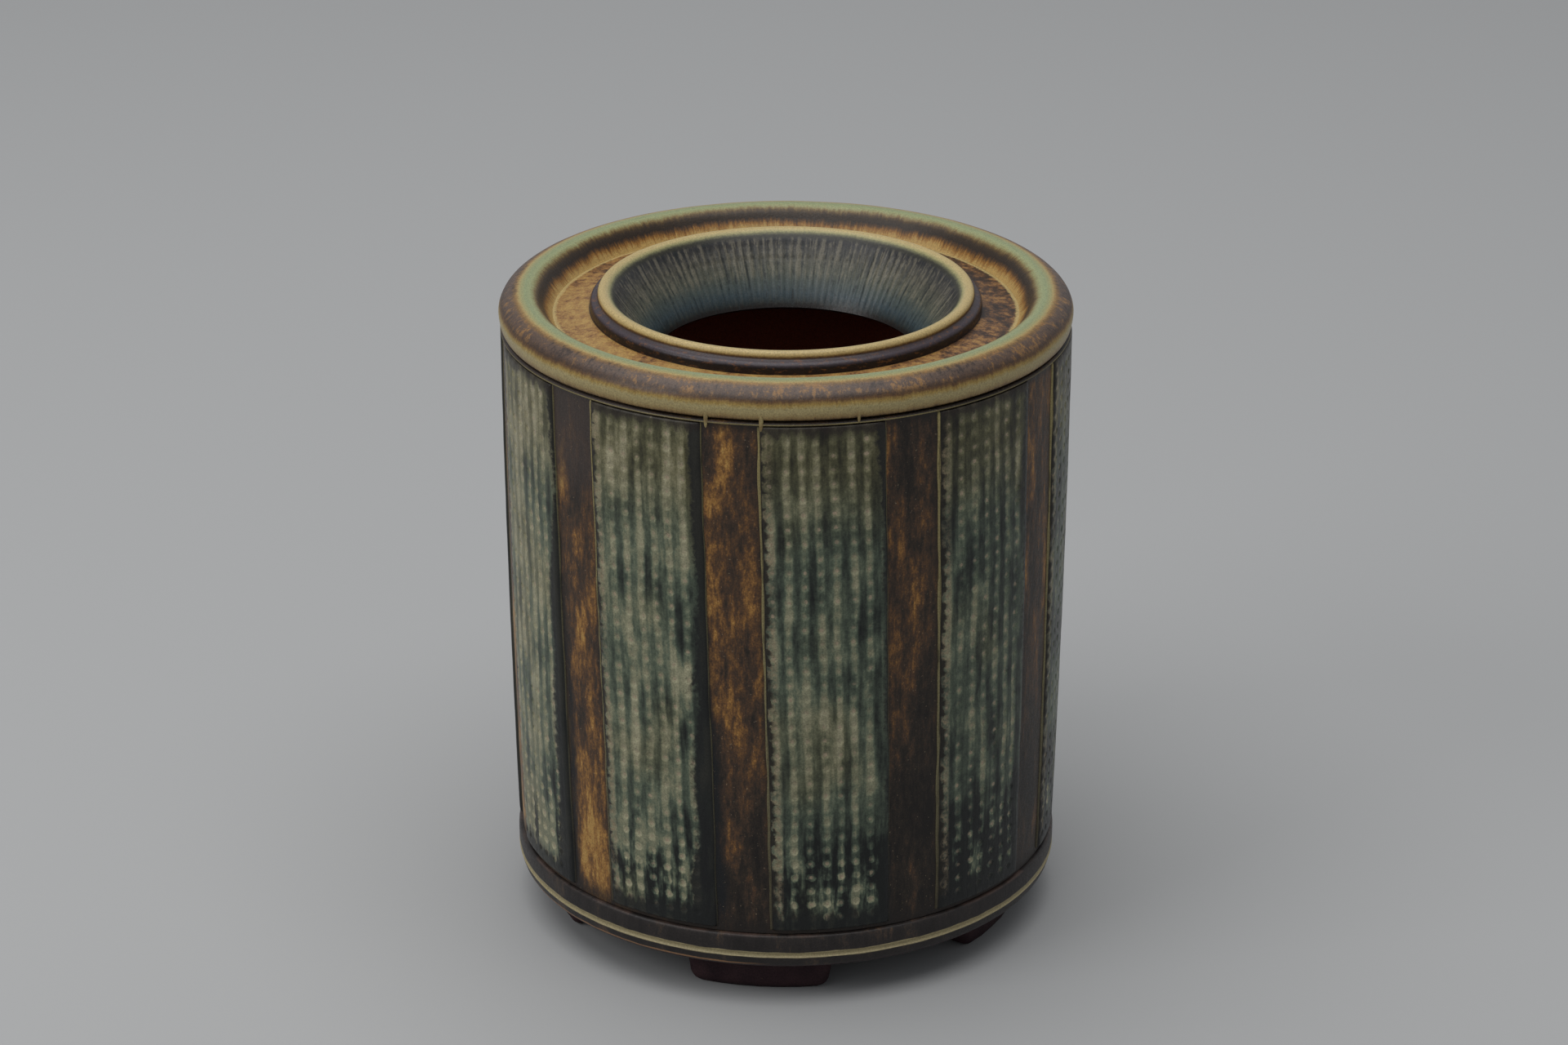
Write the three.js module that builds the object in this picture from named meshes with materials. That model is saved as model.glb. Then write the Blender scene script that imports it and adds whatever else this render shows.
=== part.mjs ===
// A footed stoneware vase: a cylinder dressed with ten textured clay panels, on a base slab
// with five slab feet, closed by a recessed shoulder, a rolled rim and a funnel-shaped neck.
// Millimetres, +Z up, the origin at the middle of the circle that the feet stand on.
import * as THREE from "three";

// Body.
const BODY_TOP_RADIUS = 84.8; // to the panels' faces, just under the rim
const BODY_TAPER = 2.2; // how much narrower the body is just over the base slab
const BODY_HEIGHT = 162.2; // the wall, from the base slab to its own top edge
const WALL_THICKNESS = 6.5;
const LUTE_GAP = 0.2; // the slip joint between two pieces of clay
const BEAD_HEIGHT = 1; // the raised line round the wall's top edge
const BEAD_SETBACK = 0.15; // how far the bead stays behind the panels' faces

// Panels.
const PANEL_COUNT = 10;
const PANEL_PROUD = 1; // how far a panel's face stands out from the bare wall
const PANEL_WIDTH_DEG = 24.2;
const PANEL_FIRST_DEG = 7.2; // middle of the front panel, at its top end
const PANEL_LEAN_DEG = 2.3; // how far the foot of a panel is turned past its top
const PANEL_END_MARGIN = 1.2; // bare wall above and below a panel
const PANEL_BORDER = 2.4; // plain clay between a panel's ends and its rows of dots
const PANEL_BEVEL = 0.6;
const DOT_ROWS = 7; // rows of impressed dots that run down a panel
const DOT_DEPTH = 0.35;

// Base slab.
const BASE_HEIGHT = 10.8;
const BASE_OVERHANG = 0.3; // how far the slab stands out past the panels
const BASE_UNDERCUT = 1.6; // how far its lower edge draws in
const BASE_ROUNDING = 1.1; // radius of its top edge
const FLOOR_RISE = 1.2; // the inside floor stands up inside the wall by this much
const GROOVE_LEVEL = 4.5; // middle of the groove, above the slab's underside
const GROOVE_WIDTH = 1.5;
const GROOVE_DEPTH = 0.4;

// Feet.
const FOOT_COUNT = 5;
const FOOT_FIRST_DEG = -6.5;
const FOOT_HEIGHT = 12.8;
const FOOT_SETBACK = 9.9; // from the base slab's edge to a foot's outer face
const FOOT_DEPTH = 16; // radial
const FOOT_WIDTH = 38; // round the arc, at the floor
const FOOT_FLARE = 2.4; // how much each end widens towards the slab
const FOOT_ROUNDING = 3.2; // radius of the lower edges

// Shoulder and rim.
const SHOULDER_THICKNESS = 3.2; // at its edge, under the rim
const SHOULDER_CROWN = 1; // how much it rises from the rim's foot to the collar
const SHOULDER_SETBACK = 1.9; // depth of the shadow line under the rim
const RIM_OVERHANG = 0.2; // how far the rim stands out past the panels
const RIM_ROLL_WIDTH = 8.3; // from the rim's outermost line to its crest
const RIM_SLOPE_WIDTH = 7.8; // from the crest in to the foot of the inner slope
const RIM_HEIGHT = 7; // crest above the foot of the inner slope
const RIM_SKIRT = 1.8; // how far the rim's outer edge hangs below that foot
const RIM_BELLY = 0.8; // how far above that foot the rim is widest

// Neck collar.
const LIP_INNER_RADIUS = 50.3;
const LIP_WIDTH = 5.3;
const LIP_ROUNDING = 1.3; // of the lip's outer edge, up to its crest
const LIP_FALL = 2.5; // how much lower the lip's inner edge is than its crest
const COLLAR_HEIGHT = 6.8; // crest of the lip above the foot of the rim's inner slope
const COLLAR_LEDGE = 2.4; // how far the collar's foot stands out past the lip
const NECK_WALL = 2.2; // wall of the neck where it passes through the shoulder
const MOUTH_RADIUS = 38.4; // the narrowest ring, at the funnel's lower end
const MOUTH_WALL = 4.6;
const MOUTH_DROP = 13.8; // from the foot of the rim's inner slope down to the narrowest ring
const FUNNEL_BULGE = 0.25; // 0 is a straight cone, 1 a quarter round

// Facets.
const TURNED_FACETS = 72;
const PANEL_STEPS = 5; // lofted stretches down a panel between its borders
const FOOT_STEPS = 8;

const degrees = (angle) => (angle * Math.PI) / 180;
const mix = (a, b, t) => a + (b - a) * t;
const between = (from, to, steps) => Array.from({ length: steps + 1 }, (_, i) => mix(from, to, i / steps));

// Levels and radii that follow from the sizes above.
const slabTop = FOOT_HEIGHT + BASE_HEIGHT;
const wallBottom = slabTop + LUTE_GAP;
const wallTop = wallBottom + BODY_HEIGHT;
const shoulderBottom = wallTop + LUTE_GAP;
const shoulderFace = shoulderBottom + SHOULDER_THICKNESS;
const crownFace = shoulderFace + SHOULDER_CROWN;
const slabRadius = BODY_TOP_RADIUS - BODY_TAPER + BASE_OVERHANG;
const rimRadius = BODY_TOP_RADIUS + RIM_OVERHANG;
const crestRadius = rimRadius - RIM_ROLL_WIDTH;
const rimFootRadius = crestRadius - RIM_SLOPE_WIDTH;
const shoulderRadius = rimRadius - SHOULDER_SETBACK;
const lipRadius = LIP_INNER_RADIUS + LIP_WIDTH;
const collarRadius = lipRadius + COLLAR_LEDGE;
const neckRadius = LIP_INNER_RADIUS + NECK_WALL;

// The body swells a little towards the rim: most of its taper is in the lower third.
function faceRadius(z) {
  const down = 1 - THREE.MathUtils.clamp((z - wallBottom) / BODY_HEIGHT, 0, 1);
  return BODY_TOP_RADIUS - BODY_TAPER * down ** 2;
}

const wallRadius = (z) => faceRadius(z) - PANEL_PROUD;
const innerRadius = (z) => wallRadius(z) - WALL_THICKNESS;

// Points of an elliptical arc about (r, z).
function arc(r, z, halfWidth, halfHeight, fromDeg, toDeg, steps) {
  return between(degrees(fromDeg), degrees(toDeg), steps).map((a) => {
    return [r + halfWidth * Math.cos(a), z + halfHeight * Math.sin(a)];
  });
}

// A turned piece from its profile of [radius, height] points, listed anticlockwise.
function turned(profile) {
  const closed = profile[0][0] > 0 ? [...profile, profile[0]] : profile;
  const points = closed.map(([r, z]) => new THREE.Vector2(r, z));
  return new THREE.LatheGeometry(points, TURNED_FACETS).rotateX(Math.PI / 2).rotateZ(Math.PI / 2);
}

// A closed solid through rings of points, each ring anticlockwise seen from above.
function loft(rings) {
  const size = rings[0].length;
  const corners = rings.flat().map((p) => new THREE.Vector3(...p));
  const faces = [];
  for (let k = 0; k < rings.length - 1; k++) {
    for (let i = 0; i < size; i++) {
      const j = (i + 1) % size;
      const [a, b, c, d] = [k * size + i, k * size + j, (k + 1) * size + j, (k + 1) * size + i];
      faces.push([a, b, c], [a, c, d]);
    }
  }
  const closeEnd = (k, facesDown) => {
    const outline = rings[k].map(([x, y]) => new THREE.Vector2(x, y));
    for (const triangle of THREE.ShapeUtils.triangulateShape(outline, [])) {
      const face = triangle.map((i) => k * size + i);
      faces.push(facesDown ? face.reverse() : face);
    }
  };
  closeEnd(0, true);
  closeEnd(rings.length - 1, false);
  const geometry = new THREE.BufferGeometry();
  geometry.setFromPoints(corners);
  geometry.setIndex(faces.flat());
  geometry.computeVertexNormals();
  return geometry;
}

// A point on the circle of radius r, turned from the front (-Y) towards +X.
const onCircle = (r, angle, z) => [r * Math.sin(angle), -r * Math.cos(angle), z];

// The base slab: a thick disc with a drawn-in lower edge, a groove for the glaze line, a
// rounded top edge, and a raised floor that the wall fits round.
function baseSlab() {
  const groove = FOOT_HEIGHT + GROOVE_LEVEL;
  const floorRadius = innerRadius(wallBottom) - LUTE_GAP;
  return turned([
    [0, FOOT_HEIGHT],
    [slabRadius - BASE_UNDERCUT, FOOT_HEIGHT],
    [slabRadius - BASE_UNDERCUT * 0.4, FOOT_HEIGHT + GROOVE_LEVEL * 0.35],
    [slabRadius, groove - GROOVE_WIDTH / 2],
    [slabRadius - GROOVE_DEPTH, groove - GROOVE_WIDTH / 4],
    [slabRadius - GROOVE_DEPTH, groove + GROOVE_WIDTH / 4],
    [slabRadius, groove + GROOVE_WIDTH / 2],
    ...arc(slabRadius - BASE_ROUNDING, slabTop - BASE_ROUNDING, BASE_ROUNDING, BASE_ROUNDING, 0, 90, 3),
    [floorRadius, slabTop],
    [floorRadius, slabTop + FLOOR_RISE],
    [0, slabTop + FLOOR_RISE],
  ]);
}

// The wall: a tube whose bare surface shows as the brown strips between the panels, with a
// fine raised line round its top edge.
function wallCylinder() {
  const beadBottom = wallTop - BEAD_HEIGHT;
  const beadRadius = faceRadius(wallTop) - BEAD_SETBACK;
  const outside = between(wallBottom, beadBottom, 4).map((z) => [wallRadius(z), z]);
  const bead = [
    [beadRadius, beadBottom + BEAD_HEIGHT * 0.2],
    [beadRadius, wallTop],
  ];
  const inside = between(wallTop, wallBottom, 2).map((z) => [innerRadius(z), z]);
  return turned([...outside, ...bead, ...inside]);
}

// One panel: a thin slab bent round the wall, bevelled along both edges, with a shallow
// channel for each row of dots between its plain borders.
function panel(index) {
  const topMiddle = PANEL_FIRST_DEG + (360 / PANEL_COUNT) * index;
  const half = PANEL_WIDTH_DEG / 2;
  const bottom = wallBottom + PANEL_END_MARGIN;
  const top = wallTop - PANEL_END_MARGIN;
  const textured = between(bottom + PANEL_BORDER, top - PANEL_BORDER, PANEL_STEPS);
  const ringAt = (z, dotDepth) => {
    const face = faceRadius(z);
    const middle = topMiddle + PANEL_LEAN_DEG * ((top - z) / (top - bottom));
    const bevel = THREE.MathUtils.radToDeg(PANEL_BEVEL / face);
    const pitch = (2 * half - 2 * bevel) / (DOT_ROWS + 1);
    const ring = [];
    const place = (offset, r) => ring.push(onCircle(r, degrees(middle + offset), z));
    place(-half, face - PANEL_BEVEL);
    place(-half + bevel, face);
    for (let row = 1; row <= DOT_ROWS; row++) {
      const at = -half + bevel + pitch * row;
      place(at - pitch * 0.3, face);
      place(at, face - dotDepth);
      place(at + pitch * 0.3, face);
    }
    place(half - bevel, face);
    place(half, face - PANEL_BEVEL);
    between(half, -half, 6).forEach((offset) => place(offset, wallRadius(z) + LUTE_GAP));
    return ring;
  };
  return loft([
    ringAt(bottom, 0),
    ...textured.map((z) => ringAt(z, DOT_DEPTH)),
    ringAt(top, 0),
  ]);
}

// The shoulder: a ring of clay on top of the wall, open in the middle for the neck. It is flat
// under the rim and rises a little from the rim's foot to the collar.
function shoulderPlate() {
  const opening = neckRadius + LUTE_GAP;
  return turned([
    [opening, shoulderBottom],
    [shoulderRadius, shoulderBottom],
    [shoulderRadius, shoulderFace],
    [rimFootRadius, shoulderFace],
    [collarRadius, crownFace],
    [opening, crownFace],
  ]);
}

// The rolled rim: a skirt over the shoulder's edge, a round shoulder up to the crest, and an
// inner slope that drops to the shoulder's face in a soft S.
function rimRing() {
  const crest = shoulderFace + RIM_HEIGHT;
  const belly = shoulderFace + RIM_BELLY;
  const seat = shoulderFace + LUTE_GAP;
  const skirtBottom = shoulderFace - RIM_SKIRT;
  const skirtRadius = shoulderRadius + LUTE_GAP;
  const slope = [
    [0.23, 0.05],
    [0.44, 0.21],
    [0.66, 0.56],
    [0.9, 0.9],
    [1, 1],
  ].map(([inward, fall]) => [mix(crestRadius, rimFootRadius, inward), mix(crest, seat, fall)]);
  return turned([
    [skirtRadius, seat],
    [skirtRadius, skirtBottom],
    ...arc(crestRadius, belly, RIM_ROLL_WIDTH, belly - skirtBottom, -25, 0, 1),
    ...arc(crestRadius, belly, RIM_ROLL_WIDTH, crest - belly, 0, 90, 7).slice(1),
    ...slope,
  ]);
}

// The neck collar: a stepped ring whose lip is highest near its outer edge, slopes inwards and
// turns down into a funnel.
function neckCollar() {
  const seat = crownFace + LUTE_GAP;
  const lipTop = shoulderFace + COLLAR_HEIGHT;
  const lipCrest = lipRadius - LIP_ROUNDING;
  const mouth = shoulderFace - MOUTH_DROP;
  const ledge = mix(seat, lipTop, 0.53);
  const slope = between(0, 1, 3).slice(1).map((t) => {
    return [mix(lipCrest, LIP_INNER_RADIUS, t), lipTop - LIP_FALL * t ** 2];
  });
  const funnel = between(0, 1, 4).slice(1).map((t) => {
    const inward = mix(t, Math.sin(degrees(90 * t)), FUNNEL_BULGE);
    return [mix(LIP_INNER_RADIUS, MOUTH_RADIUS, inward), mix(lipTop - LIP_FALL, mouth, t)];
  });
  return turned([
    [MOUTH_RADIUS + MOUTH_WALL, mouth],
    [neckRadius, shoulderBottom],
    [neckRadius, seat],
    [collarRadius, seat],
    [collarRadius - COLLAR_LEDGE * 0.1, mix(seat, ledge, 0.75)],
    [collarRadius - COLLAR_LEDGE * 0.45, ledge],
    ...arc(lipCrest, lipTop - LIP_ROUNDING, LIP_ROUNDING, LIP_ROUNDING, 0, 90, 3),
    ...slope,
    ...funnel,
    [MOUTH_RADIUS + MOUTH_WALL / 2, mouth - 1],
  ]);
}

// One foot: a short block of slab bent to the base's curve, wider where it joins the base
// and rounded along its lower edges.
function foot() {
  const outerRadius = slabRadius - FOOT_SETBACK;
  const middleRadius = outerRadius - FOOT_DEPTH / 2;
  const top = FOOT_HEIGHT - LUTE_GAP;
  const ringAt = (z, drawIn) => {
    const half = (FOOT_WIDTH / 2 + FOOT_FLARE * (z / top) - drawIn) / middleRadius;
    const outer = between(-half, half, FOOT_STEPS).map((a) => onCircle(outerRadius - drawIn, a, z));
    const innerEdge = outerRadius - FOOT_DEPTH + drawIn;
    const inner = between(half, -half, FOOT_STEPS).map((a) => onCircle(innerEdge, a, z));
    return [...outer, ...inner];
  };
  const rounding = [0, 30, 60, 90].map((angle) => {
    const a = degrees(angle);
    return ringAt(FOOT_ROUNDING * (1 - Math.cos(a)), FOOT_ROUNDING * (1 - Math.sin(a)));
  });
  return loft([...rounding, ringAt(top, 0)]);
}

const glaze = (color, roughness) => new THREE.MeshStandardMaterial({ color, roughness, metalness: 0 });
const blackBrownGlaze = glaze(0x2a2521, 0.5);
const mottledBrownGlaze = glaze(0x4a382a, 0.5);
const sageGreenGlaze = glaze(0x5d6a58, 0.45);
const tanGlaze = glaze(0x8a6a42, 0.5);
const celadonGlaze = glaze(0x8c8562, 0.4);
const creamGlaze = glaze(0x7d7a62, 0.4);
const bareClay = glaze(0x33242a, 0.8);

function piece(name, geometry, material) {
  const mesh = new THREE.Mesh(geometry, material);
  mesh.name = name;
  return mesh;
}

const vase = new THREE.Group();
vase.add(piece("base_slab", baseSlab(), blackBrownGlaze));
vase.add(piece("wall_cylinder", wallCylinder(), mottledBrownGlaze));
vase.add(piece("shoulder_plate", shoulderPlate(), tanGlaze));
vase.add(piece("rim_ring", rimRing(), celadonGlaze));
vase.add(piece("neck_collar", neckCollar(), creamGlaze));

for (let i = 0; i < PANEL_COUNT; i++) {
  const number = String(i + 1).padStart(2, "0");
  vase.add(piece(`panel_${number}`, panel(i), sageGreenGlaze));
}

for (let i = 0; i < FOOT_COUNT; i++) {
  const mesh = piece(`foot_${i + 1}`, foot(), bareClay);
  mesh.rotation.z = degrees(FOOT_FIRST_DEG + (360 / FOOT_COUNT) * i);
  vase.add(mesh);
}

export default vase;
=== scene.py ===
"""A footed stoneware vase: ten celadon panels pressed with dots, iron-brown strips between them,
a rolled rim and a fluted funnel neck."""
import math
import random
from types import SimpleNamespace

import bpy
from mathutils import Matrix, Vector, noise


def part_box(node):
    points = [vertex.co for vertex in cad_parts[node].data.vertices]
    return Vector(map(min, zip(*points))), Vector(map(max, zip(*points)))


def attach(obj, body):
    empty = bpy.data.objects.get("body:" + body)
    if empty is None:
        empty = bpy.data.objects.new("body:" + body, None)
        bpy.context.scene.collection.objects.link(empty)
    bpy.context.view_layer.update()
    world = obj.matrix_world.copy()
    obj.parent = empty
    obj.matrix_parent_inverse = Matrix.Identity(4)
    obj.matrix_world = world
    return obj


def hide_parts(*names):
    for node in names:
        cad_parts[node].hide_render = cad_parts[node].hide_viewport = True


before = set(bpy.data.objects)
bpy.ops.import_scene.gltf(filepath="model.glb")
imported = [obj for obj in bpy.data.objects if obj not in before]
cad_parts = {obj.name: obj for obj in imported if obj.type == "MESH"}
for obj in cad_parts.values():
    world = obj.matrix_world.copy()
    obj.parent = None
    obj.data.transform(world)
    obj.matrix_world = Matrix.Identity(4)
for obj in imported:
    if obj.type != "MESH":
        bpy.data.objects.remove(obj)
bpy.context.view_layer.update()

MM = 0.001
random.seed(7)


# Sizes read from the frame.
def low(node):
    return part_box(node)[0].z


def high(node):
    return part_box(node)[1].z


def reach(node):
    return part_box(node)[1].x


slab_low, slab_radius = low("base_slab"), reach("base_slab")
wall_low, wall_high, bead_radius = low("wall_cylinder"), high("wall_cylinder"), reach("wall_cylinder")
shoulder_low, crown_face, shoulder_radius = (
    low("shoulder_plate"), high("shoulder_plate"), reach("shoulder_plate"))
rim_low, rim_crest, rim_radius = low("rim_ring"), high("rim_ring"), reach("rim_ring")
mouth, lip_crest, collar_radius = low("neck_collar") + 1 * MM, high("neck_collar"), reach("neck_collar")
panel_low, panel_high = low("panel_01"), high("panel_01")
foot_high = high("foot_1")

# The body, as the frame has it.
JOINT = 0.2 * MM  # between neighbouring pieces
PANEL_PROUD = 1.0 * MM
SLAB_OVERHANG = 0.3 * MM
WALL_THICKNESS = 6.5 * MM
slab_top = wall_low - JOINT
groove_level = slab_low + 4.5 * MM
body_top_radius = bead_radius + 0.15 * MM
body_foot_radius = slab_radius - SLAB_OVERHANG

# Panels.
PANELS = 10
PANEL_PITCH = math.tau / PANELS
PANEL_FIRST = math.radians(7.2)  # middle of the front panel at its top
PANEL_ANGLE = math.radians(24.2)
PANEL_LEAN = math.radians(2.3)
PANEL_WIDTH = 35.8 * MM
RIGHT_BORDER = 3.2 * MM
END_BORDER = 2.2 * MM
DOT_COLUMNS = 7
DOT_ROWS = 35
DOT_RADIUS = 1.25 * MM
DOT_DEPTH = 0.4 * MM
DOT_STRENGTHS = {1.0: 6, 0.65: 3, 0.3: 2}  # how deep a dot is pressed and how often
END_BEVEL = (0.6 * MM, 0.3 * MM)  # length and fall
NOTCH = (1.3 * MM, 0.4 * MM)  # width and depth of the notches down the left edge
SINK = 0.3 * MM  # how far a panel goes into the wall
panel_height = panel_high - panel_low
column_width = (PANEL_WIDTH - RIGHT_BORDER) / DOT_COLUMNS
row_height = (panel_height - 2 * END_BORDER) / DOT_ROWS

# Feet.
FEET = 5
FOOT_FIRST = math.radians(-6.5)
FOOT_SETBACK = 9.9 * MM
FOOT_DEPTH = 16 * MM
FOOT_WIDTH = 38 * MM
FOOT_FLARE = 2.4 * MM
FOOT_ROUNDING = 3.2 * MM

# Shoulder, rim and neck.
RIM_BULGE = 8.3 * MM
LIP_ROUNDING = 1.3 * MM
LIP_FALL = 2.5 * MM  # from the lip's crest to the funnel's edge
shoulder_face = crown_face - 1.0 * MM
crest_radius = rim_radius - RIM_BULGE
rim_foot_radius = crest_radius - 7.8 * MM
lip_radius = collar_radius - 2.4 * MM
lip_inner = lip_radius - 5.3 * MM
MOUTH_RADIUS = 38.4 * MM
RIM_SLUMP = 1.35 * MM  # how far glaze hangs below the rim's edge
FLUTES = 120
FLUTE_DEPTH = 0.35 * MM

TURNED_STEPS = 288

# The camera, fitted to the photograph: millimetres on a 36 mm sensor, metres and degrees.
CAMERA_LENS = 97.54
CAMERA_PLACE = (0, -1.1828, 0.6203)
CAMERA_DOWN = 22.91
CAMERA_TURN = 0.0275


def face_radius(height):
    """Radius of the panels' faces: most of the body's taper is in its lower third."""
    down = 1 - min(max((height - wall_low) / (wall_high - wall_low), 0), 1)
    return body_top_radius - (body_top_radius - body_foot_radius) * down**2


# Modelling.
def deselect():
    bpy.ops.object.select_all(action="DESELECT")


def curve(points, spans=6):
    """A smooth outline through a few points (a Catmull-Rom curve)."""
    ends = [points[0], *points, points[-1]]
    made = [points[0]]
    for a, b, c, d in zip(ends, ends[1:], ends[2:], ends[3:]):
        for step in range(1, spans + 1):
            t = step / spans
            made.append(tuple(
                0.5 * (2 * q + (r - p) * t + (2 * p - 5 * q + 4 * r - s) * t**2
                       + (3 * q - p - 3 * r + s) * t**3)
                for p, q, r, s in zip(a, b, c, d)))
    return made


def between(start, end, count):
    return [start + (end - start) * i / count for i in range(count + 1)]


def turn(name, outline, steps=TURNED_STEPS):
    """Draws half of a section from one vertex and spins it round the vase's axis."""
    deselect()
    bpy.ops.mesh.primitive_plane_add(size=MM)
    piece = bpy.context.object
    piece.name = piece.data.name = name
    bpy.context.tool_settings.mesh_select_mode = (True, False, False)
    bpy.ops.object.mode_set(mode="EDIT")
    bpy.ops.mesh.merge(type="CENTER")
    bpy.ops.transform.translate(value=(outline[0][0], 0, outline[0][1]))
    for (r0, z0), (r1, z1) in zip(outline, outline[1:]):
        bpy.ops.mesh.extrude_region_move(TRANSFORM_OT_translate={"value": (r1 - r0, 0, z1 - z0)})
    bpy.ops.mesh.select_all(action="SELECT")
    bpy.ops.mesh.spin(steps=steps, angle=math.tau, center=(0, 0, 0), axis=(0, 0, 1))
    bpy.ops.mesh.select_all(action="SELECT")
    bpy.ops.mesh.remove_doubles(threshold=0.001 * MM)
    bpy.ops.mesh.normals_make_consistent(inside=False)
    bpy.ops.object.mode_set(mode="OBJECT")
    return piece


def edit(piece, chosen, kind="polygons"):
    """Opens a piece for editing with only the faces, or edges, that pass the test selected."""
    for parts in ("vertices", "edges", "polygons"):
        elements = getattr(piece.data, parts)
        elements.foreach_set("select", [parts == kind and bool(chosen(part)) for part in elements])
    bpy.context.view_layer.objects.active = piece
    bpy.context.tool_settings.mesh_select_mode = (False, kind == "edges", kind == "polygons")
    bpy.ops.object.mode_set(mode="EDIT")


def face_outwards(piece):
    """Points every face of a closed piece outwards."""
    edit(piece, lambda face: True)
    bpy.ops.mesh.normals_make_consistent(inside=False)
    bpy.ops.object.mode_set(mode="OBJECT")


def finish_with(piece, kind, **settings):
    """Adds a modifier with its settings and applies it."""
    bpy.context.view_layer.objects.active = piece
    modifier = piece.modifiers.new(kind.title(), kind)
    for name, value in settings.items():
        setattr(modifier, name, value)
    bpy.ops.object.modifier_apply(modifier=modifier.name)


def unevenness(piece, depth, size):
    """Draws a thrown or rolled surface in by up to depth, in soft patches of the given size."""
    patches = bpy.data.textures.new(piece.name, "CLOUDS")
    patches.noise_scale = size
    finish_with(piece, "DISPLACE", texture=patches, strength=depth, mid_level=1.0,
                texture_coords="LOCAL", direction="NORMAL")


def wrap(piece, place):
    """Bends a flat piece round the axis: place gives angle, radius and height for a flat point."""
    for vertex in piece.data.vertices:
        angle, radius, height = place(*vertex.co)
        vertex.co = (radius * math.sin(angle), -radius * math.cos(angle), height)


def select_only(piece):
    deselect()
    piece.select_set(True)
    bpy.context.view_layer.objects.active = piece


def smooth(piece, degrees=40):
    select_only(piece)
    bpy.ops.object.shade_smooth_by_angle(angle=math.radians(degrees))


def copy_of(master, name):
    """A copy of a finished flat piece, with a mesh of its own."""
    select_only(master)
    bpy.ops.object.duplicate(linked=False)
    piece = bpy.context.object
    piece.name = piece.data.name = name
    return piece


def dress(piece, glaze, slot, *nodes):
    """Glazes a finished piece, which rides with the vase and stands for its nodes of the frame."""
    piece.data.materials.clear()
    piece.data.materials.append(glaze)
    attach(piece, "root")
    if nodes:
        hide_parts(*nodes)


# Glazes.
# A tuple feeds a node's inputs in their order. MapRange takes a value, the range it lies in and the
# range it goes to. Mix takes how far the second colour covers at 0 and the colours at 6 and 7.
SOFT = {"interpolation_type": "SMOOTHSTEP"}

# Noise patterns: size in millimetres along x, y and z, detail and roughness. Iron glaze has runs
# 5 mm wide and six times as long, broader patches, ragged edges of 1.3 mm and a fine grain.
GRAIN = ((0.6, 0.6, 0.6), 2, 0.5)
IRON = {"runs": ((5, 5, 30), 3, 0.6), "patches": ((8, 8, 22), 6, 0.66),
        "ragged": ((1.3, 1.3, 3.4), 4, 0.7), "grain": GRAIN}
SPECKLE = (0.45, 0.45, 0.45)


def linear(hex_colour):
    """An sRGB colour such as "8a6a42" as linear red, green, blue and alpha."""
    parts = [int(hex_colour[i:i + 2], 16) / 255 for i in (0, 2, 4)]
    return (*[p / 12.92 if p <= 0.04045 else ((p + 0.055) / 1.055) ** 2.4 for p in parts], 1.0)


def add(tree, kind, feeds=(), stops=None, out=0, **settings):
    """Adds one node, sets it up, feeds its inputs with numbers, hex colours or other nodes'
    outputs, and gives back one of its own outputs."""
    node = tree.nodes.new("ShaderNode" + kind)
    for name, value in settings.items():
        setattr(node, name, value)
    if stops:
        first, *middle, last = stops
        for element, (position, colour) in zip(node.color_ramp.elements, (first, last)):
            element.position = position
            element.color = linear(colour)
        for position, colour in middle:
            node.color_ramp.elements.new(position).color = linear(colour)
    for socket, value in feeds.items() if isinstance(feeds, dict) else enumerate(feeds):
        if isinstance(value, bpy.types.NodeSocket):
            tree.links.new(value, node.inputs[socket])
        else:
            node.inputs[socket].default_value = linear(value) if isinstance(value, str) else value
    return node.outputs[out] if node.outputs else None


def per(millimetres):
    """How many times a pattern of the given size repeats in a metre, along each axis."""
    return tuple(1 / (size * MM) for size in millimetres)


def start_glaze(name, follows=None, **patterns):
    """A new glaze and what it knows of each point: its place, direction from the axis, radius,
    height and angle, and its noise patterns, which follow the object or one of its attributes."""
    material = bpy.data.materials.new(name)
    material.use_nodes = True
    tree = material.node_tree
    tree.nodes.clear()
    place = add(tree, "TexCoord", out="Object")
    level = add(tree, "VectorMath", (place, (1, 1, 0)), operation="MULTIPLY")
    parts = add(tree, "SeparateXYZ", (place,)).node.outputs
    forwards = add(tree, "Math", (parts["Y"], -1.0), operation="MULTIPLY")
    at = SimpleNamespace(
        place=place, height=parts["Z"],
        outwards=add(tree, "VectorMath", (level,), operation="NORMALIZE"),
        radius=add(tree, "VectorMath", (level,), out="Value", operation="LENGTH"),
        angle=add(tree, "Math", (parts["X"], forwards), operation="ARCTAN2"))
    if follows:
        at.laid = place = add(tree, "Attribute", out="Vector", attribute_name=follows)
    for pattern, (size, detail, roughness) in patterns.items():
        scaled = add(tree, "VectorMath", (place, per(size)), operation="MULTIPLY")
        setattr(at, pattern, add(tree, "TexNoise", {
            "Vector": scaled, "Scale": 1.0, "Detail": detail, "Roughness": roughness}, out="Fac"))
    return material, tree, at


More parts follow.
